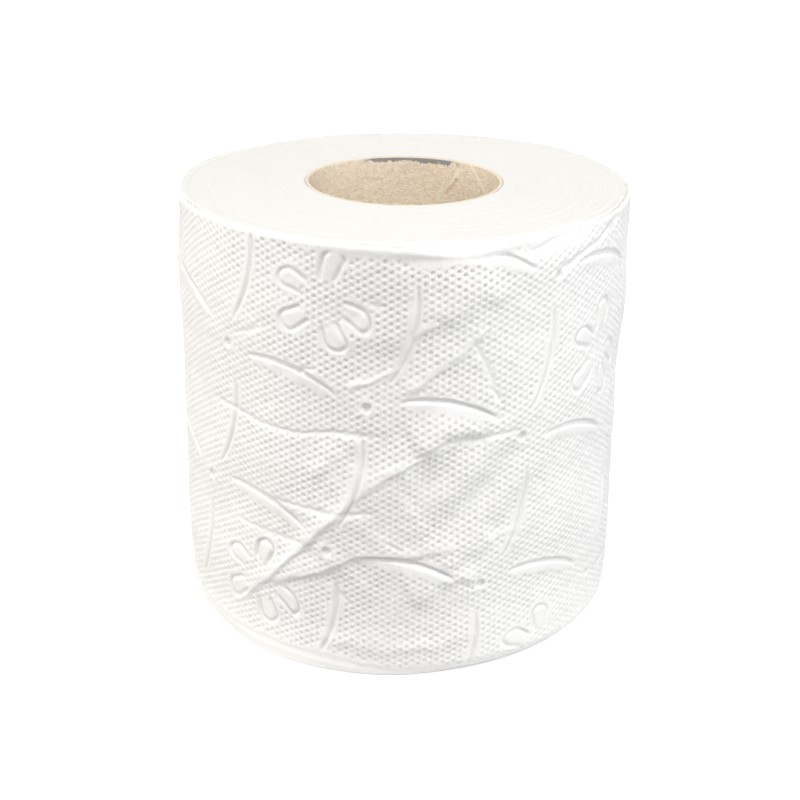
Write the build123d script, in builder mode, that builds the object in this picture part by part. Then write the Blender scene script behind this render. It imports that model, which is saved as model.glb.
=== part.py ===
from build123d import *
from math import atan2, ceil, cos, degrees, floor, hypot, pi, radians, sin, sqrt
import os

# Roll and core, in millimetres and degrees
sheet_width = 97.0
roll_diameter = 100.0
core_bore = 42.0
core_wall = 0.7
glue_line = 0.1

# Loose end of the outer turn
sheet_thickness = 0.6
tail_angle = 65.0

# Lower edge, worn round where the roll stands on it
bottom_edge_rise = 4.0
bottom_edge_inset = 1.6

# Rim pressed in at the upper front, as a wide shallow dent
dent_angle = -52.0
dent_height = 8.0
dent_depth = 1.6
dent_sweep_radius = 80.0

# Turns that show on both ends
turn_pitch = 12.0
turn_margin = 4.0
turn_groove_width = 1.0
turn_groove_depth = 0.6

# Embossed lattice: one crossing is placed around from the front and up from the floor
lattice_pitch = 34.0
lattice_lean = -14.0
crossing_around = -7.0
crossing_height = 63.0
line_gap = 6.5
line_bulge = 2.0
line_width = 1.4
line_depth = 0.5

# Lines stand off from the lattice towards their bulge, far and near by turns
line_shifts = (3.3, 0.7)

# Embossed blossoms, one in every fourth cell of the lattice, moved along and up as the lines are
blossom_shift = (3.2, 0.9)
petal_ways = (81.0, 144.0, 212.0, 287.0, 344.0)
petal_foot = 4.2
petal_length = 6.8
petal_shoulder = 4.3
petal_width = 4.6

# Raised folds across the front: both ends around and up, and the bulge between them
fold_height = 0.9
fold_width = 2.2
folds = [
    (-40.0, 10.0, -4.0, 48.0, -1.0),
    (-4.0, 48.0, 26.0, 56.5, 2.5),
    (-28.0, 20.0, 11.0, 31.0, 1.5),
]

roll_radius = roll_diameter / 2
core_radius = core_bore / 2
core_outer_radius = core_radius + core_wall
winding_radius = core_outer_radius + glue_line
sheet_step = sheet_thickness / 4
turn_step = turn_pitch / 4
turn_length = pi * roll_diameter
tail_around = radians(tail_angle + 90) * roll_radius


def polar(radius, angle):
    return (radius * cos(radians(angle)), radius * sin(radians(angle)))


def radial_plane(centre, height, angle):
    """Upright plane through an axis, with x outward at the angle and y up."""
    return Plane(
        origin=(centre[0], centre[1], height),
        x_dir=(cos(radians(angle)), sin(radians(angle)), 0),
        z_dir=(sin(radians(angle)), -cos(radians(angle)), 0),
    )


def side_plane(around, height):
    """Plane just outside the roll, with x along the sheet, y up and z outward."""
    angle = degrees(around / roll_radius) - 90
    origin = polar(roll_radius + sheet_thickness, angle)
    return Plane(
        origin=(origin[0], origin[1], height),
        x_dir=(-sin(radians(angle)), cos(radians(angle)), 0),
        z_dir=(cos(radians(angle)), sin(radians(angle)), 0),
    )


def depth_below(half_length):
    """How far the roll falls away below a side plane at a distance along the sheet."""
    return sheet_thickness + half_length ** 2 / roll_radius


def quarter_centre(quarter, step):
    """Centre of one quarter of a four-centre spiral that closes in by a step each quarter."""
    return polar(step / sqrt(2), tail_angle - 45 + 90 * quarter)


def turn_face(grow):
    """Face inside the outer turn, which ends one sheet below its own tail."""
    with BuildLine() as outline:
        for quarter in range(4):
            centre = quarter_centre(quarter, sheet_step)
            radius = roll_radius + grow - quarter * sheet_step
            CenterArc(centre, radius, tail_angle + 90 * quarter, 90)
        Line(outline.line @ 1, outline.line @ 0)
    make_face(outline.edges())


def stroke_face(start, end, bulge, width):
    """Curved stroke, widest halfway, that runs out to a point at both ends."""
    length = hypot(end[0] - start[0], end[1] - start[1])
    aside = ((start[1] - end[1]) / length, (end[0] - start[0]) / length)
    middle = ((start[0] + end[0]) / 2, (start[1] + end[1]) / 2)
    with BuildLine() as outline:
        for offset in (bulge + width / 2, bulge - width / 2):
            halfway = (middle[0] + offset * aside[0], middle[1] + offset * aside[1])
            ThreePointArc(start, halfway, end)
    make_face(outline.edges())


def petal_face(direction):
    """Petal that widens from a pointed foot to its shoulder and closes to a point."""
    shoulder = petal_foot + petal_shoulder
    tip = petal_foot + petal_length
    corners = ((petal_foot, 0), (shoulder, petal_width / 2), (tip, 0), (shoulder, -petal_width / 2))
    with BuildLine() as outline:
        Polyline(*[Vector(*corner).rotate(Axis.Z, direction) for corner in corners], close=True)
    make_face(outline.edges())


# Lattice, as two steps along the unrolled sheet
along_row = polar(lattice_pitch, lattice_lean)
down_column = polar(lattice_pitch, lattice_lean - 90)


def lattice_point(row, column):
    return (
        crossing_around + column * along_row[0] + row * down_column[0],
        crossing_height + column * along_row[1] + row * down_column[1],
    )


def moved(place, step):
    return (place[0] + step[0], place[1] + step[1])


def on_outer_turn(place, half_length):
    """True where a motif meets the sheet and lies clear of the tail."""
    past_tail = place[0] - tail_around + turn_length
    clear_of_tail = half_length < past_tail < turn_length - half_length
    return clear_of_tail and -half_length / 2 < place[1] < sheet_width + half_length / 2


line_half = lattice_pitch / 2 - line_gap
blossom_half = petal_foot + petal_length
span = ceil((turn_length + sheet_width) / lattice_pitch)
lines = []
blossoms = []
for row in range(-span, span):
    for column in range(-span, span):
        by_turns = (row + column) % 2
        row_line = (lattice_point(row, column + 0.5), 0, line_shifts[by_turns])
        column_line = (lattice_point(row + 0.5, column), -90, line_shifts[1 - by_turns])
        for middle, way, shift in (row_line, column_line):
            place = moved(middle, polar(shift, lattice_lean + way + 90))
            if on_outer_turn(place, line_half):
                lines.append((place, way))
        cell = moved(lattice_point(row + 0.5, column + 0.5), blossom_shift)
        if row % 2 == 1 and column % 2 == 1 and on_outer_turn(cell, blossom_half):
            blossoms.append(cell)

# Core tube
with BuildPart() as core_tube:
    with BuildSketch():
        Circle(core_outer_radius)
        Circle(core_radius, mode=Mode.SUBTRACT)
    extrude(amount=sheet_width)

# Embossing: what the lattice lines and petals press away from the outer turn
with BuildPart() as embossing:
    for place, way in lines:
        with BuildSketch(side_plane(*place)):
            start = polar(-line_half, lattice_lean + way)
            end = polar(line_half, lattice_lean + way)
            stroke_face(start, end, line_bulge, line_width)
    for cell in blossoms:
        with BuildSketch(side_plane(*cell)):
            for way in petal_ways:
                petal_face(way)
    extrude(amount=-(depth_below(max(line_half, blossom_half)) + line_depth))
    with BuildSketch():
        turn_face(-line_depth)
    extrude(amount=sheet_width, mode=Mode.SUBTRACT)

# Folds that stand up from the outer turn
with BuildPart() as ridges:
    for around, height, end_around, end_height, bulge in folds:
        half = ((end_around - around) / 2, (end_height - height) / 2)
        with BuildSketch(side_plane(around + half[0], height + half[1]).offset(fold_height)):
            stroke_face((-half[0], -half[1]), half, bulge, fold_width)
        extrude(amount=-(depth_below(half[0]) + 2 * fold_height + line_depth))
    with BuildSketch():
        turn_face(fold_height)
    extrude(amount=sheet_width, mode=Mode.INTERSECT)

# Spiral grooves between the turns, on both ends
with BuildPart() as turn_grooves:
    first_radius = roll_radius - turn_margin
    last_radius = winding_radius + turn_margin
    for quarter in range(floor((first_radius - last_radius) / turn_step)):
        centre = quarter_centre(quarter, turn_step)
        radius = first_radius - quarter * turn_step
        for end_face, inward in ((0, turn_groove_depth), (sheet_width, -turn_groove_depth)):
            with BuildSketch(radial_plane(centre, end_face, tail_angle + 90 * quarter)):
                with BuildLine():
                    Polyline(
                        (radius - turn_groove_width, -inward),
                        (radius, inward),
                        (radius + turn_groove_width, -inward),
                        close=True,
                    )
                make_face()
            revolve(axis=Axis((centre[0], centre[1], 0), (0, 0, 1)), revolution_arc=90)

# Wound tissue: outer turn with its tail, worn lower edge, embossing, folds, turns and dent
with BuildPart() as tissue_roll:
    with BuildSketch():
        turn_face(0)
        Circle(winding_radius, mode=Mode.SUBTRACT)
    extrude(amount=sheet_width)
    worn_radius = roll_radius + sheet_step
    with BuildSketch(Plane.XZ):
        with BuildLine():
            Polyline(
                (0, 0),
                (worn_radius - bottom_edge_inset, 0),
                (worn_radius, bottom_edge_rise),
                (worn_radius, sheet_width),
                (0, sheet_width),
                close=True,
            )
        make_face()
    revolve(axis=Axis.Z, mode=Mode.INTERSECT)
    add(embossing.part, mode=Mode.SUBTRACT)
    add(ridges.part)
    add(turn_grooves.part, mode=Mode.SUBTRACT)
    dent_upright = radial_plane((0, 0), sheet_width - dent_height, dent_angle)
    dent_lean = degrees(atan2(dent_depth, dent_height))
    dent_foot = dent_upright.from_local_coords((roll_radius, 0, 0))
    dent_face = Plane(
        origin=dent_foot,
        x_dir=dent_upright.x_dir.rotate(Axis((0, 0, 0), dent_upright.z_dir), dent_lean),
        z_dir=dent_upright.y_dir.rotate(Axis((0, 0, 0), dent_upright.z_dir), dent_lean),
    )
    with BuildSketch(dent_face):
        Rectangle(roll_diameter, roll_diameter)
        with Locations((-dent_sweep_radius, 0)):
            Circle(dent_sweep_radius, mode=Mode.SUBTRACT)
    extrude(amount=2 * dent_height, both=True, mode=Mode.SUBTRACT)

core_tube.part.label = "core_tube"
tissue_roll.part.label = "tissue_roll"

os.makedirs("parts", exist_ok=True)
export_step(core_tube.part, "parts/core_tube.step")
export_step(tissue_roll.part, "parts/tissue_roll.step")
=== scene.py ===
from itertools import product
from math import atan2, ceil, cos, pi, radians, sin

import bpy
import numpy as np
from mathutils import Matrix, Vector


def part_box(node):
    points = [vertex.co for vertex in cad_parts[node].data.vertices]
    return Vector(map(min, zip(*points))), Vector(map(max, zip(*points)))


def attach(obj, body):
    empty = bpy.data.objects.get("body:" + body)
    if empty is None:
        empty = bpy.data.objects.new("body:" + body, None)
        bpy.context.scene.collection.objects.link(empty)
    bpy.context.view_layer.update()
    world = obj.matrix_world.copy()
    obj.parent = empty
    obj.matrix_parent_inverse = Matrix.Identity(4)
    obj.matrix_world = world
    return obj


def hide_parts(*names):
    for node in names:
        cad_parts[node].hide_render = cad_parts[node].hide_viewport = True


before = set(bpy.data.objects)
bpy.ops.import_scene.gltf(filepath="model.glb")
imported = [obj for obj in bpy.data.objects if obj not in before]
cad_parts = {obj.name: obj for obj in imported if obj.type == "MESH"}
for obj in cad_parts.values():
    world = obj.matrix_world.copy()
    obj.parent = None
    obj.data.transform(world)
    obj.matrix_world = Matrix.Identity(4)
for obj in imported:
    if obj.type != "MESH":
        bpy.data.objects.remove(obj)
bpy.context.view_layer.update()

# All lengths below are millimetres, and all angles degrees, unless a comment says otherwise.
# Places on the roll's side are given unrolled: around from the front, positive to the right,
# and height up from the floor.
METRE = 0.001

# Roll and core, from the frame and the part's own driving sizes
core_low, core_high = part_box("core_tube")
WIDTH = (core_high.z - core_low.z) / METRE
CORE_OUTER = (core_high.x - core_low.x) / METRE / 2
CORE_WALL = 0.7
CORE_INNER = CORE_OUTER - CORE_WALL
GLUE_LINE = 0.1
WINDING_BORE = CORE_OUTER + GLUE_LINE
RADIUS = 50.0
TURN = 2 * pi * RADIUS

# Outer turn: its tail, and the perforated sheets that it is made of
SHEET_STEP = 0.6
TAIL_ANGLE = 65.0
TAIL_END = radians(TAIL_ANGLE + 90) * RADIUS
TAIL_START = TAIL_END - TURN
SHEET_COLUMNS = (369, 369, 229)
COLUMN_STEP = TURN / sum(SHEET_COLUMNS)
ROW_STEP = 0.375
SHEET_DEPTH = 1.05
SHEET_LEAST = 0.12
SLIT_LENGTH = 2.6
SLIT_BOND = 0.8
SLIT_DEPTH = 0.4
SLIT_END = 0.4

# Closed profile of a sheet: rows near the floor, round of the rim, levels of the inner face, and
# insets and heights of the foot
LOW_ROWS = (0.5, 1.0)
RIM_ROUND = 0.75
RIM_ARC = (25, 50, 75)
INNER_LEVELS = (WIDTH - 0.4, 93.5, 90.0, 86.0, 60.0, 30.0, 4.0, 0.6)
FOOT_INSETS = (0.7, 0.25)
FOOT_HEIGHTS = (0.0, 0.12)

# Upper edge of the outer turn: its waves as height, length and shift, and its nub past the tail
RIM_SETBACK = 0.15
RIM_WAVES = ((0.1, 8.3, 0), (0.06, 3.1, 1), (0.03, 1.1, 0))
RIM_RAGGED = 0.14
NUB_PAST_TAIL = 10.5
NUB_REACH = 2.2
NUB_HEIGHT = 0.9

# Strip along the upper edge that is free of embossing, wider and rolled outward at the front
PLAIN_STRIP = 1.0
PLAIN_STRIP_FRONT = 2.4
PLAIN_STRIP_UNEVEN = 0.6
STRIP_FRONT = (4.0, 19.0)
STRIP_ROLL = 0.45
TUCK_PLACE = (15.0, 94.2)
TUCK_REACH = (13.0, 1.0)
TUCK_DEPTH = 0.4

# Lower edge, worn round where the roll stands on it, and unevenly over a reach about the front:
# more inset to the right than to the left, and again at the far left, as inset, place and reach
WORN_RISE = 4.0
WORN_INSET = 1.6
WORN_FRONT = 75.0
WORN_RIGHT = (1.35, 4, 16)
WORN_LEFT = (2.2, -52, 12)

# Height where the embossing ends above the lower edge, and the ripples of the turns below it
LOWER_EDGE = 3.4
LOWER_EDGE_FALL = 1.6
LOWER_EDGE_UNEVEN = ((0.6, 7.0), (0.35, 2.6))
LOWER_SETBACK = 0.18
LOWER_RIPPLE = 0.07

# Upper end, cut a little low towards the back left, and slumped at the rim beside the dent
TOP_FALL = 1.0
TOP_FALL_WAY = (-0.85, -0.5)
SLUMP_PLACE = 12.0
SLUMP_DEPTH = 1.6
SLUMP_REACH = 9.0
SLUMP_INWARD = 4.0
RIM_GIVE = 10.0

# Rim pressed in at the upper front
DENT_ANGLE = -52.0
DENT_HEIGHT = 8.0
DENT_DEPTH = 1.6
DENT_SWEEP = 80.0
DENT_BLEND = 0.3

# Ground of small pits, in staggered columns
PIT_COLUMN = 4 * COLUMN_STEP
PIT_ROW = 4 * ROW_STEP
PIT_FLOOR = 0.06
PIT_RADIUS = 0.5
PIT_DEPTH = 0.58
# Radius of the shade painted in the middle of each pit
PIT_SHADE = 0.36

# Embossed lattice of curved lines
LATTICE_PITCH = 34.0
LATTICE_LEAN = -14.0
CROSSING = (-7.0, 63.0)
LINE_HALF = 10.6
LINE_BULGE = 2.0
LINE_OFFSETS = (3.3, 0.7)
LINE_DEPTH = 0.65
LINE_LIP = 0.05
LINE_MARGIN = 0.9
GROOVE_WALL = 0.4
# Share of a line's depth that is painted as shade on its floor
LINE_SHADE = 0.45

# Along the rows and down the columns: share of the depth, width, and width of the smooth leaf beside
ROW_LINE = (1.0, 0.95, 1.7)
COLUMN_LINE = (0.75, 0.75, 0.6)

# Hubs where the lines would cross, and the short creases that run out from them
HUB_DEPTH = 0.75
HUB_RADIUS = 0.95
HUB_CLEAR = (1.4, 1.9)
PUCKER_COUNT = 7
PUCKER_REACH = 5.0
PUCKER_WIDTH = 0.4
PUCKER_RISE = 0.2

# Embossed blossoms, one in every fourth cell of the lattice
BLOSSOM_SHIFT = (3.2, 0.9)
PETAL_WAYS = (81.0, 144.0, 212.0, 287.0, 344.0)
PETAL_BENDS = (0.0, 0.035, -0.01, 0.01, -0.045)
PETAL_FOOT = 4.2
PETAL_TIP = 10.8
PETAL_HALF = 2.2
PETAL_FOOT_SHARE = 0.72
PETAL_DEPTH = 0.7
PETAL_UNEVEN = 0.28
PETAL_WIDTH = 0.55
PETAL_PUFF = 1.1
PETAL_LOOSE_BEND = 0.02
PETAL_LOOSE_TIP = 0.16
PETAL_SWING = 4.0

# Slack of the outer turn: heights of its waves, from the slowest to the finest
SLACK_DRIFTS = (0.16, 0.14)
SLACK_SWELL = 0.26
SLACK_DIAGONAL = 0.45
SLACK_RUMPLES = (0.09, 0.06)
SLACK_RIPPLE = 0.06
SLACK_FOOT = 12.0

# Creases in the outer turn: points around and up, height outward (less than 0 is a valley),
# and how far the crease reaches to its left and to its right along the way of its points
CREASES = [
    ([(-40, 10), (-33, 17), (-28, 22), (-20, 31), (-12, 40), (-5, 47), (0, 50), (8, 55)],
     0.48, 1.7, 0.6),
    ([(1, 51.3), (6.5, 54), (10.3, 55.6), (15.4, 55.6), (20.2, 56), (27.4, 56.6)], -0.4, 0.55, 0.4),
    ([(-30, 18.5), (-25.8, 21.1), (-20, 23.5), (-16, 25.4), (-9, 29.6), (-4, 30.2), (1, 29.9)],
     0.65, 4.0, 0.7),
    ([(-1, 29.9), (6, 30.6), (12.5, 31.7)], 0.4, 2.5, 0.9),
    ([(-47, 57.5), (-40, 57), (-25, 55.5), (-15, 56.7), (-7, 57), (-3, 56.5)], -0.45, 0.5, 0.5),
    ([(0, 65.4), (5, 69.4), (10, 73.4), (18, 80)], 0.45, 3.0, 0.8),
    ([(-1, 69), (1, 75), (3, 79), (8, 82)], 0.4, 0.6, 0.6),
    ([(-30, 39.6), (-20, 39), (-12, 39.2), (-5, 40)], -0.4, 0.5, 0.5),
    ([(-40, 31.5), (-30, 30.7), (-20, 30.5)], -0.25, 0.5, 0.5),
    ([(14, 78), (17, 72), (21, 63)], -0.2, 0.5, 0.5),
    ([(-38, 74), (-30, 77)], -0.25, 0.5, 0.5),
    ([(33, 88.5), (45, 92), (57, 96)], -0.6, 0.6, 0.6),
    ([(25, 93.4), (30, 94.4), (34, 95.2), (38, 96)], -0.3, 0.5, 0.5),
    ([(25, 92.2), (29, 92.9), (33, 93.5)], -0.25, 0.5, 0.5),
    ([(18, 67), (19.4, 65.4), (20.5, 63.6)], -0.35, 0.45, 0.45),
    ([(-3, 33.4), (-1.2, 32.2), (0.5, 31.3)], -0.35, 0.45, 0.45),
    ([(-21.5, 69), (-19.9, 70.1), (-17.5, 70.2)], -0.3, 0.45, 0.45),
    ([(-6.6, 85.4), (-5.1, 84.7), (-3.4, 84.7)], -0.3, 0.45, 0.45),
    ([(-11.4, 66.9), (-8.7, 68.2), (-6, 68.8), (-3.6, 70), (-1.5, 71.7)], 0.3, 0.6, 0.6),
    ([(-12.8, 20.6), (-11.6, 19.1), (-10, 17.2)], -0.35, 0.45, 0.45),
    ([(19, 32), (23.3, 33.3), (27.5, 33)], 0.15, 1.2, 0.6),
]

# Soft swells of the outer turn, given as the creases are, which leave the pits as they are
SWELLS = [
    ([(-22, 29), (-12, 40), (-4, 48.5), (4, 53)], 0.75, 5.0, 8.0),
    ([(1.5, 19.5), (7, 22.3), (12, 24), (17, 25)], 0.75, 3.5, 2.0),
    ([(8, 27), (13.5, 29.4), (21, 33)], 0.5, 2.5, 2.0),
    ([(-18, 9), (-10, 8), (0, 7.6), (8, 8.4), (17, 11.5)], 0.45, 2.2, 1.6),
    ([(-20, 46), (-14, 51.5), (-8.5, 57)], 0.35, 2.5, 2.0),
    ([(2, 54), (8, 57.2), (14, 58.2), (21, 58.4)], 0.75, 3.0, 2.2),
    ([(-15, 79.3), (-6, 77.3), (5, 82), (13, 86), (25, 87.3)], 0.5, 4.0, 2.8),
]

# What makes creases irregular: sideways waves as height, length and shift, and the fade at both ends
CREASE_SHAKE = ((0.2, 1.9, 0), (0.13, 0.83, 2))
CREASE_FADE = 0.15
CREASE_LEAST = 0.15
CREASE_CLEAR = 0.9
CREASE_CLEAR_REACH = 0.8

# Turns below the outer one: columns round the roll, rings on each end, levels up the wall and bore,
# and small gaps to the outer turn, the rim and the core
WINDING_COLUMNS = 512
UPPER_RINGS = 124
LOWER_RINGS = 40
WALL_LEVELS = (0.6, 2.2, 4.2, 10, 40, 70, 86, 88, 90, 92, 94, 96, WIDTH - 0.25)
BORE_LEVELS = (WIDTH - 0.3, 70.0, 30.0, 0.3)
SHEET_GAP = 0.02
UPPER_SETBACK = 0.06
END_INSETS = (0.12, 0.1)
UNDER_TAIL_REACH = 25.0
TURN_PITCH = 0.9
TURN_RISE = 0.035
TURN_UNEVEN = 0.02
TURN_LOOSE = 0.03
FINE_TURN_PITCH = 0.3

# Core: columns round it, its ragged rim and wavy wall
CORE_COLUMNS = 384
CORE_RAGGED = 0.04
CORE_WAVE = 0.03

# Scuff on the core's inner wall, as angles from the front and heights
SCUFF = [(142.7, 93.9), (145.3, 92.7), (147.0, 91.7), (149.5, 90.4), (152.0, 89.0)]
SCUFF_RISE = 0.3
SCUFF_REACHES = (1.0, 0.45)

# Helical ply seam of the core: its rise in one turn, and its height straight at the back
SEAM_LEAD = 126.0
SEAM_AT_BACK = 112.9

# Dark patch under the core's back rim, as angles from straight behind towards the right
PATCH_MIDDLE = 5.2
PATCH_HALF = 34.0
PATCH_END = 8.0
PATCH_TATTER = 3.6
PATCH_LEVEL = WIDTH - 1.75

# Colours, as linear red, green and blue
PAPER_COOL = (0.865, 0.865, 0.86)
PAPER_WARM = (0.885, 0.878, 0.86)
PAPER_FIBRE = (0.80, 0.79, 0.765)
# Painted shade, laid on the pits and on the floors of lines, hubs and petal outlines
PAPER_PAINTED_SHADE = (0.58, 0.58, 0.58)
ENDS_DEEP = (0.875, 0.862, 0.83)
ENDS_PALE = (0.885, 0.876, 0.85)
ENDS_WOOL = (0.78, 0.765, 0.73)
BOARD_DEEP = (0.87, 0.74, 0.585)
BOARD_PALE = (0.93, 0.81, 0.655)
BOARD_GRAIN = (0.62, 0.51, 0.39)
BOARD_DARK_FIBRE = (0.54, 0.44, 0.33)
BOARD_PALE_FIBRE = (0.96, 0.89, 0.77)
BOARD_SEAM = (0.97, 0.90, 0.75)
BOARD_DARK_PATCH = (0.25, 0.255, 0.275)
BOARD_CUT = (0.80, 0.73, 0.60)
FLOOR_DEEP = (0.36, 0.36, 0.36)
FLOOR_PALE = (0.38, 0.38, 0.38)
FLOOR_NEAR_ROLL = (0.72, 0.72, 0.72)
FLOOR_SEEN = (0.34, 0.34, 0.34)
WHITE = (1, 1, 1)
AMBIENT = (0.96, 0.98, 1.0)

# Unrolled map of a mesh: margins for its caps, as a share, and the depth that would span the whole map
MAP_MARGIN = 0.02
MAP_CAP_SPAN = 400.0

# Floor: its half side, the paler ring at the roll, and the glow that brings it to white further out
FLOOR_HALF = 2500.0
FLOOR_RING = (54, 64)
FLOOR_GLOW_REACH = (120, 450)
FLOOR_GLOW = (0.74, 1.0)

# Light all round, and lamps that face the roll: place and size in metres, watts and colour
AMBIENT_STRENGTH = 0.15
LAMP_TARGET = (0, 0, 0.05)
LAMPS = {
    "top_light": ((0.0, -0.62, 1.42), (0.48, 0.48), 15.0, (1.0, 0.985, 0.96)),
    "front_light": ((0.0, -0.95, 0.6), (0.4, 0.4), 3.65, (1.0, 0.99, 0.98)),
    "left_light": ((-0.75, 0.0, 0.15), (0.5, 0.4), 4.1, (1.0, 0.965, 0.91)),
    "right_light": ((0.73, -0.15, 0.2), (0.5, 0.4), 3.1, (0.95, 0.975, 1.0)),
    "back_light": ((0.0, 0.85, 0.2), (0.5, 0.4), 2.4, (1.0, 0.985, 0.96)),
}

# Camera, fitted to the photograph's rim and base curves
CAMERA_EYE = (-0.25, -317.3, 179.1)
CAMERA_PITCH = 23.05
CAMERA_ROLL = 0.757
CAMERA_LENS = 66.2
CAMERA_SENSOR = 36.0


# Shapes of curves, and numbers that look random

def smooth_step(low, high, value):
    part = np.clip((value - low) / (high - low), 0, 1)
    return part * part * (3 - 2 * part)


def bell(distance, width):
    return np.exp(-((distance / width) ** 2))


def trough(distance, width):
    """1 on the floor of a groove of a width, and 0 outside its steep walls."""
    return 1 - smooth_step((width - GROOVE_WALL) / 2, (width + GROOVE_WALL) / 2, np.abs(distance))


def soft_min(a, b, blend):
    share = np.clip(0.5 + 0.5 * (b - a) / blend, 0, 1)
    return b + (a - b) * share - blend * share * (1 - share)


def waves(along, parts):
    """Sum of sine waves, each given by its height, length and shift."""
    return sum(height * np.sin(along / length + shift) for height, length, shift in parts)


def polar(radius, angle):
    return np.array((radius * cos(radians(angle)), radius * sin(radians(angle))))


def scatter(*numbers):
    """A number from 0 to 1 that looks random but is the same each time for the same whole numbers."""
    mixed = sum(number * factor for number, factor in zip(numbers, (12.9898, 78.233, 37.719)))
    value = np.sin(mixed) * 43758.5453
    return value - np.floor(value)


def unevenness(around, height, size):
    """Smooth random waves between -1 and 1, about one in each square of a size."""
    across, up = around / size, height / size
    column, row = np.floor(across), np.floor(up)
    right, above = smooth_step(0, 1, across - column), smooth_step(0, 1, up - row)
    lower = scatter(column, row) * (1 - right) + scatter(column + 1, row) * right
    upper = scatter(column, row + 1) * (1 - right) + scatter(column + 1, row + 1) * right
    return 2 * (lower * (1 - above) + upper * above) - 1


def uneven_line(around, size):
    """Smooth random waves between -1 and 1 along the way round the roll."""
    return unevenness(around, np.zeros_like(around), size)


# Form of the roll, without its surface detail

def turn_radius(around):
    """Outer turn, which closes in by one sheet from its tail to where it goes under the tail."""
    return RADIUS - SHEET_STEP * (around - TAIL_START) / TURN


def worn_inset(around, height):
    """How far the lower edge is worn in."""
    right_inset, right_place, right_reach = WORN_RIGHT
    left_inset, left_place, left_reach = WORN_LEFT
    uneven = right_inset * np.tanh((around - right_place) / right_reach)
    uneven = uneven + left_inset * bell(around - left_place, left_reach)
    inset = WORN_INSET + bell(around, WORN_FRONT) * uneven
    return inset * np.clip(1 - height / WORN_RISE, 0, 1) ** 1.5


def top_level(radius, around):
    """Height of the upper end, which falls towards the back left and slumps beside the dent."""
    angle = around / RADIUS
    towards_back, towards_left = TOP_FALL_WAY
    fall = radius * (towards_back * np.cos(angle) + towards_left * np.sin(angle)) / RADIUS
    at_rim = smooth_step(RADIUS - SLUMP_INWARD, RADIUS, radius)
    slump = SLUMP_DEPTH * bell(around - SLUMP_PLACE, SLUMP_REACH) * at_rim
    return WIDTH - TOP_FALL * np.clip(fall, 0, 1) ** 1.5 - slump


def below_rim(around, height):
    """Heights on the side, brought down near the rim where the upper end is low."""
    fall = WIDTH - top_level(RADIUS, around)
    return height - fall * smooth_step(WIDTH - RIM_GIVE, WIDTH - RIM_ROUND, height)


def dent_radius(around, height):
    """How far out the pushed-in rim reaches: the wall of a wide cylinder that leans inward."""
    lean = atan2(DENT_DEPTH, DENT_HEIGHT)
    aside = around / RADIUS - radians(DENT_ANGLE + 90)
    foot = (height - WIDTH + DENT_HEIGHT) * sin(lean) - RADIUS * cos(lean) + DENT_SWEEP
    ahead = np.cos(aside) * cos(lean)
    square = ahead ** 2 + np.sin(aside) ** 2
    inside = np.clip((ahead * foot) ** 2 - square * (foot ** 2 - DENT_SWEEP ** 2), 0, None)
    reach = (np.sqrt(inside) - ahead * foot) / square
    return np.where(np.cos(aside) > 0.3, reach, 2 * RADIUS)


def base_radius(around, height):
    worn = turn_radius(around) - worn_inset(around, height)
    return soft_min(worn, dent_radius(around, height), DENT_BLEND)


# Embossing, as how far the surface stands out from the form, and where it is clear of pits

def lattice_point(row, column):
    along_row = polar(LATTICE_PITCH, LATTICE_LEAN)
    down_column = polar(LATTICE_PITCH, LATTICE_LEAN - 90)
    return np.array(CROSSING) + column * along_row + row * down_column


def lattice_cells():
    span = ceil((TURN + WIDTH) / LATTICE_PITCH)
    return product(range(-span, span), repeat=2)


def near(around, height, place, reach):
    return np.nonzero((np.abs(around - place[0]) < reach) & (np.abs(height - place[1]) < reach))


def local_axes(around, height, place, angle):
    """Distances along and to the left of a direction on the unrolled sheet."""
    ahead = polar(1, angle)
    step = (around - place[0], height - place[1])
    return step[0] * ahead[0] + step[1] * ahead[1], step[1] * ahead[0] - step[0] * ahead[1]


def emboss_line(around, height, relief, clear, place, angle, depth, width, leaf_width):
    """Curved line sunk in at the outer side of a smooth leaf-shaped strip."""
    spots = near(around, height, place, LINE_HALF + 4)
    if not len(spots[0]):
        return
    along, aside = local_axes(around[spots], height[spots], place, angle)
    bend = (LINE_HALF ** 2 + LINE_BULGE ** 2) / (2 * LINE_BULGE)
    outside = np.hypot(along, aside - LINE_BULGE + bend) - bend
    part = np.abs(along) / LINE_HALF
    strength = 1 - smooth_step(0.8, 1.1, part)
    leaf = LINE_MARGIN + leaf_width * np.clip(1 - part ** 2, 0, 1)
    relief[spots] -= depth * LINE_DEPTH * strength * trough(outside, width * (1 - 0.5 * part ** 2))
    relief[spots] += LINE_LIP * strength * bell(outside + 0.5 * leaf + 0.5, 0.9)
    margin = np.where(outside > 0, outside - LINE_MARGIN, -outside - leaf)
    clear[spots] = np.maximum(clear[spots], strength * (1 - smooth_step(0, 0.5, margin)))


def emboss_hub(around, height, relief, clear, place, depth):
    spots = near(around, height, place, 4 * HUB_RADIUS)
    distance = np.hypot(around[spots] - place[0], height[spots] - place[1])
    relief[spots] -= depth * trough(distance, 2 * HUB_RADIUS)
    clear[spots] = np.maximum(clear[spots], 1 - smooth_step(*HUB_CLEAR, distance))


def pucker(around, height, relief, place, row, column):
    """Short creases that run out from a hub, each in its own way and of its own height."""
    spots = near(around, height, place, PUCKER_REACH)
    for number in range(PUCKER_COUNT):
        way = 360 * (number + 0.7 * scatter(number, row, column)) / PUCKER_COUNT
        along, aside = local_axes(around[spots], height[spots], place, way)
        length = PUCKER_REACH * (0.5 + 0.5 * scatter(number + 5, row, column))
        shape = smooth_step(0.8, 1.6, along) * (1 - smooth_step(0.4 * length, length, along))
        rise = PUCKER_RISE * (2 * scatter(number + 9, row, column) - 0.6)
        relief[spots] += rise * shape * bell(aside, PUCKER_WIDTH)


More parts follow.
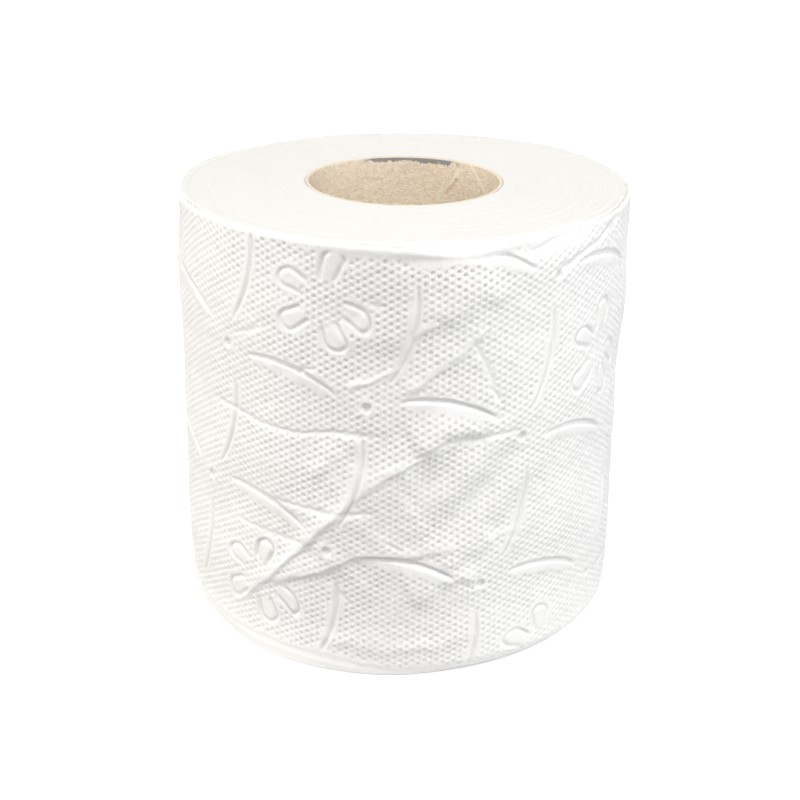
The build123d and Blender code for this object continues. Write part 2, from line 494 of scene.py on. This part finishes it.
def outside_petal(along, aside, tip):
    """Distance outside a petal's outline: a tapering strip with a round crown."""
    crown = tip - PETAL_HALF
    grown = np.clip((along - PETAL_FOOT) / (crown - PETAL_FOOT), 0, 1)
    half = PETAL_HALF * (PETAL_FOOT_SHARE + (1 - PETAL_FOOT_SHARE) * grown)
    return np.where(along < crown, np.abs(aside) - half, np.hypot(along - crown, aside) - PETAL_HALF)


def emboss_petal(around, height, relief, clear, place, angle, tip, bend):
    """Petal drawn as one U-shaped line, open at its foot, round a smooth puffed-up middle."""
    spots = near(around, height, place, tip + 3)
    if not len(spots[0]):
        return
    along, aside = local_axes(around[spots], height[spots], place, angle)
    outside = outside_petal(along, aside - bend * (along - PETAL_FOOT) ** 2, tip)
    strength = smooth_step(PETAL_FOOT - 0.6, PETAL_FOOT + 1.8, along)
    puff = 1 - PETAL_PUFF * smooth_step(0.1, 0.85, -outside)
    uneven = PETAL_UNEVEN * unevenness(around[spots], height[spots], 2.7)
    depth = PETAL_DEPTH * (1 - PETAL_UNEVEN + uneven)
    relief[spots] -= depth * strength * np.where(outside > 0, trough(outside, PETAL_WIDTH), puff)
    clear[spots] = np.maximum(clear[spots], strength * (1 - smooth_step(0.9, 1.6, outside)))


def emboss_blossom(around, height, relief, clear, place, row, column):
    """Open blossom, each petal a little different in way, length and bend."""
    for number, (way, bend) in enumerate(zip(PETAL_WAYS, PETAL_BENDS)):
        swing, stretch_by, lean = (scatter(number, row, column + shift) - 0.5 for shift in (0, 7, 13))
        angle = way + 2 * PETAL_SWING * swing
        tip = PETAL_TIP * (1 + PETAL_LOOSE_TIP * stretch_by)
        loose = 2 * PETAL_LOOSE_BEND * lean
        emboss_petal(around, height, relief, clear, place, angle, tip, bend + loose)


def emboss_lattice(around, height, relief, clear):
    """Lines, hubs and blossoms of the whole lattice."""
    across, down = LATTICE_LEAN, LATTICE_LEAN - 90
    for row, column in lattice_cells():
        even = (row + column) % 2
        row_line = (lattice_point(row, column + 0.5), across, LINE_OFFSETS[even], ROW_LINE)
        column_line = (lattice_point(row + 0.5, column), down, LINE_OFFSETS[1 - even], COLUMN_LINE)
        for middle, angle, offset, line in (row_line, column_line):
            place = middle + polar(offset, angle + 90)
            emboss_line(around, height, relief, clear, place, angle, *line)
        depth = HUB_DEPTH * (0.6 + 0.4 * scatter(row + 3, column))
        emboss_hub(around, height, relief, clear, lattice_point(row, column), depth)
        pucker(around, height, relief, lattice_point(row, column), row, column)
        if row % 2 == 1 and column % 2 == 1:
            blossom = lattice_point(row + 0.5, column + 0.5) + np.array(BLOSSOM_SHIFT)
            emboss_blossom(around, height, relief, clear, blossom, row, column)


def pit_relief(around, height):
    """Ground of small pits, each a little different from the next, and the shade painted on their
    floors.
    """
    along = around - TAIL_START
    column = np.round(along / PIT_COLUMN)
    pits = np.zeros_like(around)
    shade = np.zeros_like(around)
    for neighbour in (column - 1, column, column + 1):
        shift = 0.5 * (neighbour % 2)
        row = np.round(height / PIT_ROW - shift)
        distance = np.hypot(along - neighbour * PIT_COLUMN, height - (row + shift) * PIT_ROW)
        strength = 0.7 + 0.6 * scatter(neighbour, row)
        pits -= PIT_DEPTH * strength * (1 - smooth_step(PIT_FLOOR, PIT_RADIUS, distance))
        shade += strength * (1 - smooth_step(0, PIT_SHADE, distance))
    return pits, shade


# Creases and slack of the outer turn

def smooth_path(points, pieces=6):
    """Smooth curve through the points, parallel at each one to the line between its neighbours."""
    points = np.array(points, float)
    padded = np.vstack((2 * points[0] - points[1], points, 2 * points[-1] - points[-2]))
    path = []
    for before, start, end, after in zip(padded, padded[1:], padded[2:], padded[3:]):
        for share in np.arange(pieces) / pieces:
            straight = 2 * start + (end - before) * share
            square = (2 * before - 5 * start + 4 * end - after) * share ** 2
            cube = (3 * start - before - 3 * end + after) * share ** 3
            path.append((straight + square + cube) / 2)
    return np.array(path + [points[-1]])


def beside_path(here, path):
    """For each place: distance from a path, more than 0 on its left, and way passed along it."""
    nearest = np.full(len(here), np.inf)
    aside = np.zeros(len(here))
    passed = np.zeros(len(here))
    lengths = np.hypot(*np.diff(path, axis=0).T)
    travelled = np.concatenate(((0,), np.cumsum(lengths)))
    for start, end, length, before in zip(path, path[1:], lengths, travelled):
        ahead = (end - start) / length
        along = np.clip((here - start) @ ahead, 0, length)
        gap = here - start - along[:, None] * ahead
        distance = np.hypot(gap[:, 0], gap[:, 1])
        closer = distance < nearest
        nearest = np.where(closer, distance, nearest)
        side = ahead[0] * gap[:, 1] - ahead[1] * gap[:, 0]
        aside = np.where(closer, np.sign(side), aside)
        passed = np.where(closer, before + along, passed)
    return aside * nearest, passed, travelled[-1]


def crease_relief(around, height, relief, clear, points, rise, left_reach, right_reach):
    """Ridge or valley along a path, which wears the pits away on its crest."""
    path = smooth_path(points)
    reach = 2.5 * max(left_reach, right_reach)
    low, high = path.min(axis=0) - reach, path.max(axis=0) + reach
    inside = (around > low[0]) & (around < high[0]) & (height > low[1]) & (height < high[1])
    spots = np.nonzero(inside)
    if not len(spots[0]):
        return
    here = np.stack((around[spots], height[spots]), axis=1)
    aside, passed, total = beside_path(here, path)
    aside = aside + waves(passed, CREASE_SHAKE) * min(left_reach, right_reach)
    width = np.where(aside > 0, left_reach, right_reach) * (1 + 0.3 * np.sin(passed / 3.1 + rise * 9))
    run_out = CREASE_FADE * total
    fade = smooth_step(0, run_out, passed) * smooth_step(0, run_out, total - passed)
    waver = 1 + 0.15 * np.sin(passed / 2.3) * np.sin(passed / 5.1 + 1)
    relief[spots] += rise * (CREASE_LEAST + (1 - CREASE_LEAST) * fade) * waver * bell(aside, width)
    clear[spots] = np.maximum(clear[spots], CREASE_CLEAR * fade * bell(aside, CREASE_CLEAR_REACH))


def slack_relief(around, height):
    """Soft waves of the loose outer turn, with slanting ones at the front."""
    first, second = SLACK_DRIFTS
    slow = first * np.sin(around / 9.0 + height / 13.0)
    slow += second * np.sin(height / 8.0 - around / 21.0 + 2)
    swell = SLACK_SWELL * np.sin(height / 4.6 + 1.2 * np.sin(around / 11 + 1) + around / 19)
    slow += swell * (0.6 + 0.4 * np.sin(around / 13 - height / 17))
    front = bell(around - 15, 13) * bell(height - 45, 17)
    diagonal = SLACK_DIAGONAL * front * np.sin((height - around) / 2.4)
    coarse, fine = SLACK_RUMPLES
    rumple = coarse * unevenness(around, height, 4.3) + fine * unevenness(around, height, 1.9)
    return slow + diagonal + rumple + SLACK_RIPPLE * np.sin(around / 2.9 + 2 * np.sin(height / 11.0))


def lower_edge(around):
    """Height where the embossed outer turn ends and the smooth edges of the turns below it show."""
    uneven = sum(rise * uneven_line(around, size) for rise, size in LOWER_EDGE_UNEVEN)
    return LOWER_EDGE - LOWER_EDGE_FALL * np.tanh((around + 5) / 18) + uneven


def lower_relief(around, height):
    below = 1 - smooth_step(-0.35, 0.1, height - lower_edge(around))
    ripple = LOWER_RIPPLE * np.sin(height * 2.6 + around / 7 + 1.5 * np.sin(around / 11))
    return below * (ripple - LOWER_SETBACK)


def strip_front(around):
    middle, reach = STRIP_FRONT
    return bell(around - middle, reach)


def rim_relief(around, height):
    """Upper edge, which rolls outward at the front above a shallow tuck."""
    under_rim = height - top_level(RADIUS, around)
    roll = STRIP_ROLL * strip_front(around) * smooth_step(-3.4, -0.6, under_rim)
    along, up = around - TUCK_PLACE[0], height - TUCK_PLACE[1]
    return roll - TUCK_DEPTH * bell(along, TUCK_REACH[0]) * bell(up, TUCK_REACH[1])


def embossed_part(around, height):
    """1 where the sheet is embossed, and 0 on the plain strips at its upper and lower edges."""
    above_edge = smooth_step(0.2, 0.9, height - lower_edge(around))
    strip = PLAIN_STRIP + PLAIN_STRIP_FRONT * strip_front(around)
    strip += PLAIN_STRIP_UNEVEN * uneven_line(around, 5.0)
    under_rim = height - top_level(RADIUS, around)
    return above_edge * (1 - smooth_step(-0.7, 0.3, under_rim + strip))


def sheet_relief(around, height):
    """What stands out from or sinks into the outer turn, and the shade painted in its pits and grooves.
    """
    embossed = np.zeros_like(around)
    clear = np.zeros_like(around)
    emboss_lattice(around, height, embossed, clear)
    folded = slack_relief(around, height) * smooth_step(0, SLACK_FOOT, height)
    folded += lower_relief(around, height) + rim_relief(around, height)
    for crease in CREASES:
        crease_relief(around, height, folded, clear, *crease)
    for swell in SWELLS:
        crease_relief(around, height, folded, np.zeros_like(clear), *swell)
    slumped = smooth_step(0.1, 0.6, turn_radius(around) - dent_radius(around, height))
    within_strips = embossed_part(around, height)
    pits, shade = pit_relief(around, height)
    pitted = (1 - clear) * (1 - 0.6 * slumped) * within_strips
    pitted *= 0.95 + 0.2 * unevenness(around, height, 9.0)
    embossed *= (1 - 0.5 * slumped) * within_strips
    # Painted shade: darker in the middle of each pit and on the floors of the lines, hubs and petals
    painted_shade = np.clip(shade * pitted - LINE_SHADE * embossed / LINE_DEPTH, 0, 1)
    return folded + embossed + pits * pitted, painted_shade


# Meshes, as closed grids: columns run round the roll, and rows follow a closed profile

def cap_faces(columns, rows):
    """Faces that close both ends of a grid."""
    profile = np.arange(rows)
    return [profile.tolist(), (profile + (columns - 1) * rows)[::-1].tolist()]


def cap_unrolled(points):
    """Places of both caps on the unrolled map, in the narrow margins beside the grid."""
    heights = points[0, :, 2] / WIDTH
    depths = np.hypot(points[..., 0], points[..., 1])
    start = (depths[0].max() - depths[0]) / MAP_CAP_SPAN
    end = 1 - (depths[-1].max() - depths[-1]) / MAP_CAP_SPAN
    return [np.stack((start, heights), axis=-1), np.stack((end, heights), axis=-1)[::-1]]


def grid_mesh(name, points, ring, painted_shade=None):
    """Closed mesh from columns of profile points, joined end to end as a ring or capped at both ends."""
    columns, rows = points.shape[:2]
    spans = columns if ring else columns - 1
    column, row = np.meshgrid(np.arange(spans), np.arange(rows), indexing="ij")
    corners = [(column, row), (column + 1, row), (column + 1, row + 1), (column, row + 1)]
    quads = np.stack([(c % columns) * rows + r % rows for c, r in corners], axis=-1).reshape(-1, 4)
    margin = 0 if ring else MAP_MARGIN
    across = np.stack([margin + (1 - 2 * margin) * c / spans for c, r in corners], axis=-1)
    up = np.stack([r / rows for c, r in corners], axis=-1)
    unrolled = np.stack((across, up), axis=-1).reshape(-1, 2)
    faces = quads.tolist()
    if not ring:
        faces += cap_faces(columns, rows)
        unrolled = np.concatenate([unrolled] + cap_unrolled(points))
    mesh = bpy.data.meshes.new(name)
    mesh.from_pydata((points.reshape(-1, 3) * METRE).tolist(), [], faces)
    mesh.polygons.foreach_set("use_smooth", np.arange(len(faces)) < len(quads))
    # Shade painted in the pits and grooves, stored on the points for the material
    if painted_shade is not None:
        values = np.zeros(points.shape[:2])
        values[:, :painted_shade.shape[1]] = painted_shade
        mesh.attributes.new("painted_shade", "FLOAT", "POINT").data.foreach_set("value", values.ravel())
    layer = mesh.uv_layers.new(name="OFBake")
    layer.data.foreach_set("uv", unrolled.ravel())
    mesh.update()
    return mesh


def around_axis(radius, around, height):
    """Points at a distance from the roll's axis, at a place around it and a height."""
    angle = around / RADIUS
    return np.stack((radius * np.sin(angle), -radius * np.cos(angle), height), axis=-1)


def rim_height(around):
    """Upper edge of the outer turn, a little uneven, with one nub that stands up at the back."""
    uneven = waves(around, RIM_WAVES) + RIM_RAGGED * uneven_line(around, 1.7)
    nub = NUB_HEIGHT * bell(around - (TAIL_START + NUB_PAST_TAIL), NUB_REACH)
    return top_level(RADIUS, around) - RIM_SETBACK + uneven + nub


def slit_depth(height):
    """Perforation between two sheets: a row of slits with short bonds left between them."""
    place = height % (SLIT_LENGTH + SLIT_BOND)
    opened = smooth_step(0, SLIT_END, place)
    return SLIT_DEPTH * opened * (1 - smooth_step(SLIT_LENGTH - SLIT_END, SLIT_LENGTH, place))


def outer_face(around):
    """Radii and heights of a sheet's embossed face, and the shade painted in its pits and grooves."""
    fine_rows = np.arange(4, int((WIDTH - RIM_ROUND) / ROW_STEP) + 1) * ROW_STEP
    side, height = np.meshgrid(around, np.concatenate((LOW_ROWS, fine_rows)), indexing="ij")
    height = below_rim(side, height)
    relief, painted_shade = sheet_relief(side, height)
    for edge in (0, -1):
        relief[edge] -= slit_depth(height[edge])
    relief = np.maximum(relief, SHEET_LEAST - SHEET_DEPTH)
    return base_radius(side, height) + relief, height, painted_shade


def sheet_points(first_column, columns):
    """Columns of profile points of one sheet of the outer turn."""
    around = TAIL_START + COLUMN_STEP * np.arange(first_column, first_column + columns + 1)
    outer_radius, outer_height, painted_shade = outer_face(around)
    turn = np.radians(RIM_ARC)
    rim_radius = outer_radius[:, -1:] - RIM_ROUND * (1 - np.cos(turn))
    rim = rim_height(around)[:, None] - RIM_ROUND * (1 - np.sin(turn))
    inner_side, inner_height = np.meshgrid(around, INNER_LEVELS, indexing="ij")
    inner_height = below_rim(inner_side, inner_height)
    inner_radius = base_radius(inner_side, inner_height) - SHEET_DEPTH
    foot_radius = outer_radius[:, :1] - np.array(FOOT_INSETS)
    foot_height = np.broadcast_to(FOOT_HEIGHTS, foot_radius.shape)
    radius = np.concatenate((outer_radius, rim_radius, inner_radius, foot_radius), axis=1)
    heights = np.concatenate((outer_height, rim, inner_height, foot_height), axis=1)
    return around_axis(radius, around[:, None], heights), painted_shade


def turns_relief(radius, around):
    """Edges of the wound turns on an end of the roll, looser towards the outside."""
    turns = radius / TURN_PITCH + around / TURN
    strip = 2 * pi * np.floor(turns) - around / RADIUS
    uneven = np.sin(0.93 * strip) + np.sin(1.71 * strip + 1) + np.sin(0.41 * strip + 2)
    loose = smooth_step(RADIUS - 7, RADIUS - 1, radius)
    return TURN_RISE * np.cos(2 * pi * turns) + (TURN_UNEVEN + TURN_LOOSE * loose) * uneven


def end_rings(wall_radius, around, rings):
    """Radii of the rings on an end, from just inside the wall to the bore, and their relief."""
    rim = wall_radius[:, None] - END_INSETS[0]
    radius = rim + np.linspace(0, 1, rings) * (WINDING_BORE + END_INSETS[1] - rim)
    return radius, turns_relief(radius, around[:, None])


def winding_points():
    """Columns of profile points of the turns below the outer one, with both ends and the bore."""
    around = TAIL_START + TURN * np.arange(WINDING_COLUMNS) / WINDING_COLUMNS
    side, height = np.meshgrid(around, WALL_LEVELS, indexing="ij")
    height = below_rim(side, height)
    # Before the tail the wall rises by one sheet, so that the ring closes
    under_tail = SHEET_STEP * smooth_step(TAIL_END - UNDER_TAIL_REACH, TAIL_END, side)
    wall_radius = base_radius(side, height) - SHEET_DEPTH - SHEET_GAP + under_tail
    upper_radius, upper_turns = end_rings(wall_radius[:, -1], around, UPPER_RINGS)
    upper = top_level(upper_radius, around[:, None]) - UPPER_SETBACK + upper_turns
    lower_radius, lower_turns = end_rings(wall_radius[:, 0], around, LOWER_RINGS)
    lower = np.abs(lower_turns)
    bore = np.broadcast_to(BORE_LEVELS, (len(around), len(BORE_LEVELS)))
    bore_radius = np.full(bore.shape, WINDING_BORE)
    radius = np.concatenate((wall_radius, upper_radius, bore_radius, lower_radius[:, ::-1]), axis=1)
    heights = np.concatenate((height, upper, bore, lower[:, ::-1]), axis=1)
    return around_axis(radius, around[:, None], heights)


def core_profile():
    """Radii and heights round the core's wall, with close rows where the view reaches inside."""
    outer = [(CORE_OUTER, level) for level in (0.2, 30, 60, WIDTH - 0.25)]
    rim = [(CORE_OUTER - 0.08, WIDTH - 0.06), (CORE_OUTER - 0.2, WIDTH)]
    rim += [(CORE_INNER + 0.2, WIDTH - 0.01), (CORE_INNER + 0.06, WIDTH - 0.08)]
    stretches = ((0.25, 27, 0.3), (27, 92, 1.3), (92, WIDTH - 0.2, 0.6))
    down = np.concatenate([np.arange(*stretch) for stretch in stretches])
    inner = [(CORE_INNER, WIDTH - step) for step in down]
    foot = [(CORE_INNER + 0.1, 0.05), (CORE_INNER + 0.35, 0.0), (CORE_OUTER - 0.1, 0.05)]
    return np.array(outer + rim + inner + foot)


def core_points():
    """Columns of profile points of the cardboard core."""
    around = TURN * np.arange(CORE_COLUMNS) / CORE_COLUMNS
    profile = core_profile()
    side, height = np.meshgrid(around, profile[:, 1], indexing="ij")
    radius = np.broadcast_to(profile[:, 0], height.shape)
    ragged = CORE_RAGGED * np.sin(side / 1.7) * smooth_step(WIDTH - 1, WIDTH, height)
    scuff = np.zeros(height.shape)
    scuff_path = [(radians(angle) * RADIUS, level) for angle, level in SCUFF]
    crease_relief(side, height, scuff, np.zeros(height.shape), scuff_path, SCUFF_RISE, *SCUFF_REACHES)
    on_inner_wall = radius < CORE_INNER + 0.01
    wall = radius + CORE_WAVE * np.sin(side / 5.0 + height / 4.0) - scuff * on_inner_wall
    return around_axis(wall, side, height + ragged)


# Nodes of materials

def add_node(tree, kind, inputs=None, **settings):
    made = tree.nodes.new(kind)
    for name, value in settings.items():
        setattr(made, name, value)
    for name, value in (inputs or {}).items():
        if isinstance(value, bpy.types.NodeSocket):
            tree.links.new(value, made.inputs[name])
        else:
            made.inputs[name].default_value = value
    return made


def new_material(name):
    material = bpy.data.materials.new(name)
    material.use_nodes = True
    tree = material.node_tree
    tree.nodes.clear()
    place = add_node(tree, "ShaderNodeTexCoord").outputs["Object"]
    return material, tree, place


def add_surface(tree, tone, roughness, normal, specular, sheen=0.0):
    inputs = {"Base Color": tone, "Roughness": roughness, "Normal": normal}
    inputs |= {"Specular IOR Level": specular, "Sheen Weight": sheen}
    surface = add_node(tree, "ShaderNodeBsdfPrincipled", inputs).outputs["BSDF"]
    add_node(tree, "ShaderNodeOutputMaterial", {"Surface": surface})


def calculate(tree, operation, first, second=0.0, third=0.0):
    made = add_node(tree, "ShaderNodeMath", {0: first, 1: second, 2: third}, operation=operation)
    return made.outputs[0]


def noise(tree, place, size, detail=3.0, roughness=0.55):
    """Noise with features about as large as a size in millimetres."""
    inputs = {"Vector": place, "Scale": 1 / (size * METRE), "Detail": detail, "Roughness": roughness}
    return add_node(tree, "ShaderNodeTexNoise", inputs).outputs["Fac"]


def stretch(tree, place, scale):
    return add_node(tree, "ShaderNodeMapping", {"Vector": place, "Scale": scale}).outputs["Vector"]


def colour_between(tree, share, low_colour, high_colour):
    made = add_node(tree, "ShaderNodeMix", {0: share}, data_type="RGBA")
    for number, colour in ((6, low_colour), (7, high_colour)):
        if isinstance(colour, bpy.types.NodeSocket):
            tree.links.new(colour, made.inputs[number])
        else:
            made.inputs[number].default_value = (*colour, 1)
    return made.outputs[2]


def tint(tree, mask, amount, under, over):
    """A colour laid over another where a mask is 1, as strongly as an amount."""
    return colour_between(tree, calculate(tree, "MULTIPLY", mask, amount), under, over)


def bump(tree, height, distance, below=None):
    inputs = {"Height": height, "Distance": distance * METRE, "Strength": 1.0}
    if below is not None:
        inputs["Normal"] = below
    return add_node(tree, "ShaderNodeBump", inputs).outputs["Normal"]


def remap(tree, value, low, high, to_low=0.0, to_high=1.0):
    inputs = {"Value": value, "From Min": low, "From Max": high, "To Min": to_low, "To Max": to_high}
    return add_node(tree, "ShaderNodeMapRange", inputs).outputs["Result"]


# Materials

def tissue_material():
    """White creped tissue: soft fibres, fine creping up the sheet and a slight, changing cast, with
    shade painted in its pits and grooves.
    """
    material, tree, place = new_material("tissue_paper")
    cast = noise(tree, place, 22, 2)
    fibres = noise(tree, place, 0.35, 4, 0.65)
    creping = noise(tree, stretch(tree, place, (1, 1, 0.25)), 0.5, 2)
    painted_shade = add_node(tree, "ShaderNodeAttribute", attribute_name="painted_shade").outputs["Fac"]
    cloud = colour_between(tree, cast, PAPER_COOL, PAPER_WARM)
    tone = colour_between(tree, remap(tree, fibres, 0.3, 0.7, 0.0, 0.12), cloud, PAPER_FIBRE)
    # Painted shade on the pits and on the floors of lines, hubs and petals
    tone = tint(tree, painted_shade, 0.5, tone, PAPER_PAINTED_SHADE)
    roughness = remap(tree, fibres, 0.2, 0.8, 0.86, 1.0)
    normal = bump(tree, creping, 0.07, bump(tree, fibres, 0.09))
    add_surface(tree, tone, roughness, normal, specular=0.2, sheen=0.08)
    return material


def spiral_lines(tree, place):
    """Fine lines of the turns, which wind outward by one pitch in each turn and drift a little."""
    parts = add_node(tree, "ShaderNodeSeparateXYZ", {"Vector": place}).outputs
    across = calculate(tree, "POWER", parts["X"], 2.0)
    along = calculate(tree, "POWER", parts["Y"], 2.0)
    radius = calculate(tree, "SQRT", calculate(tree, "ADD", across, along))
    angle = calculate(tree, "ARCTAN2", parts["Y"], parts["X"])
    wound = calculate(tree, "DIVIDE", radius, FINE_TURN_PITCH * METRE)
    turns = calculate(tree, "ADD", wound, calculate(tree, "DIVIDE", angle, 2 * pi))
    drift = calculate(tree, "MULTIPLY", noise(tree, place, 6, 2), 4.0)
    turns = calculate(tree, "ADD", turns, drift)
    return calculate(tree, "SINE", calculate(tree, "MULTIPLY", turns, 2 * pi))


def winding_material():
    """Cut edges of the turns: fine spiral lines, woolly and a little creamier than the sheet."""
    material, tree, place = new_material("tissue_ends")
    wool = noise(tree, place, 0.5, 4, 0.7)
    cast = noise(tree, place, 9, 3)
    cloud = colour_between(tree, cast, ENDS_DEEP, ENDS_PALE)
    tone = colour_between(tree, remap(tree, wool, 0.35, 0.75, 0.0, 0.1), cloud, ENDS_WOOL)
    roughness = remap(tree, wool, 0.2, 0.8, 0.88, 1.0)
    normal = bump(tree, spiral_lines(tree, place), 0.012, bump(tree, wool, 0.08))
    add_surface(tree, tone, roughness, normal, specular=0.15)
    return material


def fibre_strokes(tree, place, size, scale, thickness):
    """Thin winding strokes, as the lines where a noise passes through its middle."""
    field = noise(tree, stretch(tree, place, scale), size, 2, 0.5)
    apart = calculate(tree, "ABSOLUTE", calculate(tree, "SUBTRACT", field, 0.5))
    broken = remap(tree, noise(tree, place, 0.8 * size, 2), 0.28, 0.5)
    return calculate(tree, "MULTIPLY", remap(tree, apart, 0.0, thickness, 1.0, 0.0), broken)


def ply_seam(tree, back, height):
    """Helical line where the core's ply meets itself."""
    climb = calculate(tree, "MULTIPLY", back, SEAM_LEAD / (2 * pi))
    above = calculate(tree, "SUBTRACT", calculate(tree, "ADD", height, climb), SEAM_AT_BACK)
    above = calculate(tree, "WRAP", above, SEAM_LEAD / 2, -SEAM_LEAD / 2)
    return remap(tree, calculate(tree, "ABSOLUTE", above), 0.3, 0.6, 1.0, 0.0)


def dark_rim_patch(tree, place, back, height):
    """Strip below the back rim with a tattered lower edge."""
    tatter = calculate(tree, "MULTIPLY", noise(tree, place, 2.4, 4, 0.65), PATCH_TATTER)
    depth = calculate(tree, "ADD", calculate(tree, "SUBTRACT", PATCH_LEVEL, height), tatter)
    patch_band = remap(tree, depth, 1.05, 1.3, 1.0, 0.0)
    off_middle = calculate(tree, "ABSOLUTE", calculate(tree, "SUBTRACT", back, radians(PATCH_MIDDLE)))
    fade_from, fade_to = radians(PATCH_HALF - PATCH_END), radians(PATCH_HALF)
    along_back = remap(tree, off_middle, fade_from, fade_to, 1.0, 0.0)
    return calculate(tree, "MULTIPLY", patch_band, along_back)


def core_material():
    """Brown board with flattened fibres, a helical ply seam, a dark patch under the back rim and a paler
    cut edge.
    """
    material, tree, place = new_material("core_board")
    parts = add_node(tree, "ShaderNodeSeparateXYZ", {"Vector": place}).outputs
    back = calculate(tree, "ARCTAN2", parts["X"], parts["Y"])
    height = calculate(tree, "DIVIDE", parts["Z"], METRE)
    cast = noise(tree, place, 7, 3)
    grain = noise(tree, place, 0.6, 4, 0.65)
    pale_strokes = fibre_strokes(tree, place, 1.9, (1, 1, 1.4), 0.07)
    dark_strokes = fibre_strokes(tree, place, 1.6, (1, 1, 1.3), 0.05)
    cut_edge = remap(tree, height, WIDTH - 0.4, WIDTH - 0.25)
    tone = colour_between(tree, cast, BOARD_DEEP, BOARD_PALE)
    tone = colour_between(tree, remap(tree, grain, 0.4, 0.75, 0.0, 0.4), tone, BOARD_GRAIN)
    tone = tint(tree, dark_strokes, 0.45, tone, BOARD_DARK_FIBRE)
    tone = tint(tree, pale_strokes, 0.68, tone, BOARD_PALE_FIBRE)
    tone = tint(tree, ply_seam(tree, back, height), 0.95, tone, BOARD_SEAM)
    # Dark patch under the back rim, with a tattered lower edge
    tone = tint(tree, dark_rim_patch(tree, place, back, height), 0.9, tone, BOARD_DARK_PATCH)
    tone = tint(tree, cut_edge, 0.9, tone, BOARD_CUT)
    roughness = remap(tree, grain, 0.2, 0.8, 0.72, 0.95)
    normal = bump(tree, pale_strokes, 0.05, bump(tree, grain, 0.1))
    add_surface(tree, tone, roughness, normal, specular=0.25)
    return material


def seen_directly(tree):
    """1 for rays from the camera or by way of gloss or glass, which show the backdrop as white."""
    path = add_node(tree, "ShaderNodeLightPath").outputs
    gloss = calculate(tree, "MAXIMUM", path["Is Glossy Ray"], path["Is Transmission Ray"])
    return calculate(tree, "MAXIMUM", path["Is Camera Ray"], gloss)


def floor_material():
    """Pale floor that reads as white and still takes the roll's shadow."""
    material, tree, place = new_material("floor_white")
    away = add_node(tree, "ShaderNodeVectorMath", {0: place}, operation="LENGTH").outputs["Value"]
    ring = remap(tree, away, *(METRE * reach for reach in FLOOR_RING), 1.0, 0.0)
    pale = colour_between(tree, noise(tree, place, 40, 2), FLOOR_DEEP, FLOOR_PALE)
    pale = colour_between(tree, ring, pale, FLOOR_NEAR_ROLL)
    bounced = add_node(tree, "ShaderNodeBsdfDiffuse", {"Color": pale}).outputs[0]
    lit = add_node(tree, "ShaderNodeBsdfDiffuse", {"Color": (*FLOOR_SEEN, 1)}).outputs[0]
    level = remap(tree, away, *(METRE * reach for reach in FLOOR_GLOW_REACH), *FLOOR_GLOW)
    glow = add_node(tree, "ShaderNodeEmission", {"Strength": level}).outputs[0]
    seen = add_node(tree, "ShaderNodeAddShader", {0: lit, 1: glow}).outputs[0]
    shaders = {0: seen_directly(tree), 1: bounced, 2: seen}
    mixed = add_node(tree, "ShaderNodeMixShader", shaders).outputs[0]
    add_node(tree, "ShaderNodeOutputMaterial", {"Surface": mixed})
    return material


# Pieces and stage

def add_object(name, data):
    made = bpy.data.objects.new(name, data)
    bpy.context.scene.collection.objects.link(made)
    return made


def add_piece(name, mesh, material, node):
    piece = add_object(name, mesh)
    piece.data.materials.append(material)
    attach(piece, "root")
    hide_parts(node)


def add_outer_turn():
    """Outer turn as its perforated sheets, one after another from the tail."""
    material = tissue_material()
    first_column = 0
    for number, columns in enumerate(SHEET_COLUMNS, start=1):
        name = f"outer_sheet_{number}"
        points, painted_shade = sheet_points(first_column, columns)
        add_piece(name, grid_mesh(name, points, False, painted_shade), material, "tissue_roll")
        first_column += columns


def add_winding():
    mesh = grid_mesh("tissue_winding", winding_points(), True)
    add_piece("tissue_winding", mesh, winding_material(), "tissue_roll")


def add_core():
    mesh = grid_mesh("core", core_points(), True)
    add_piece("core", mesh, core_material(), "core_tube")


def add_floor():
    half = FLOOR_HALF * METRE
    mesh = bpy.data.meshes.new("floor")
    corners = [(-half, -half, 0), (half, -half, 0), (half, half, 0), (-half, half, 0)]
    mesh.from_pydata(corners, [], [(0, 1, 2, 3)])
    mesh.materials.append(floor_material())
    add_object("floor", mesh)


def add_softbox(name, place, size, watts, colour):
    lamp = bpy.data.lights.new(name, "AREA")
    lamp.shape = "RECTANGLE"
    lamp.size, lamp.size_y = size
    lamp.energy = watts
    lamp.color = colour
    box = add_object(name, lamp)
    box.location = place
    box.rotation_euler = (Vector(LAMP_TARGET) - Vector(place)).to_track_quat("-Z", "Y").to_euler()


def add_world():
    """Dim light from all round, behind which the camera sees white."""
    world = bpy.data.worlds.new("studio")
    bpy.context.scene.world = world
    world.use_nodes = True
    tree = world.node_tree
    tree.nodes.clear()
    dim = {"Color": (*AMBIENT, 1), "Strength": AMBIENT_STRENGTH}
    bright = {"Color": (*WHITE, 1), "Strength": 1.0}
    ambient = add_node(tree, "ShaderNodeBackground", dim).outputs[0]
    backdrop = add_node(tree, "ShaderNodeBackground", bright).outputs[0]
    shaders = {0: seen_directly(tree), 1: ambient, 2: backdrop}
    mixed = add_node(tree, "ShaderNodeMixShader", shaders).outputs[0]
    add_node(tree, "ShaderNodeOutputWorld", {"Surface": mixed})


def add_camera():
    data = bpy.data.cameras.new("photo_camera")
    data.lens = CAMERA_LENS
    data.sensor_width = CAMERA_SENSOR
    camera = add_object("photo_camera", data)
    pitch, roll = radians(CAMERA_PITCH), radians(CAMERA_ROLL)
    level_right = Vector((1, 0, 0))
    level_up = Vector((0, sin(pitch), cos(pitch)))
    right = level_right * cos(roll) + level_up * sin(roll)
    up = level_up * cos(roll) - level_right * sin(roll)
    turned = Matrix((right, up, right.cross(up))).transposed().to_4x4()
    camera.matrix_world = Matrix.Translation(Vector(CAMERA_EYE) * METRE) @ turned
    bpy.context.scene.camera = camera


bpy.context.scene.view_settings.view_transform = "Standard"
add_outer_turn()
add_winding()
add_core()
add_floor()
add_world()
for lamp_name, lamp_settings in LAMPS.items():
    add_softbox(lamp_name, *lamp_settings)
add_camera()
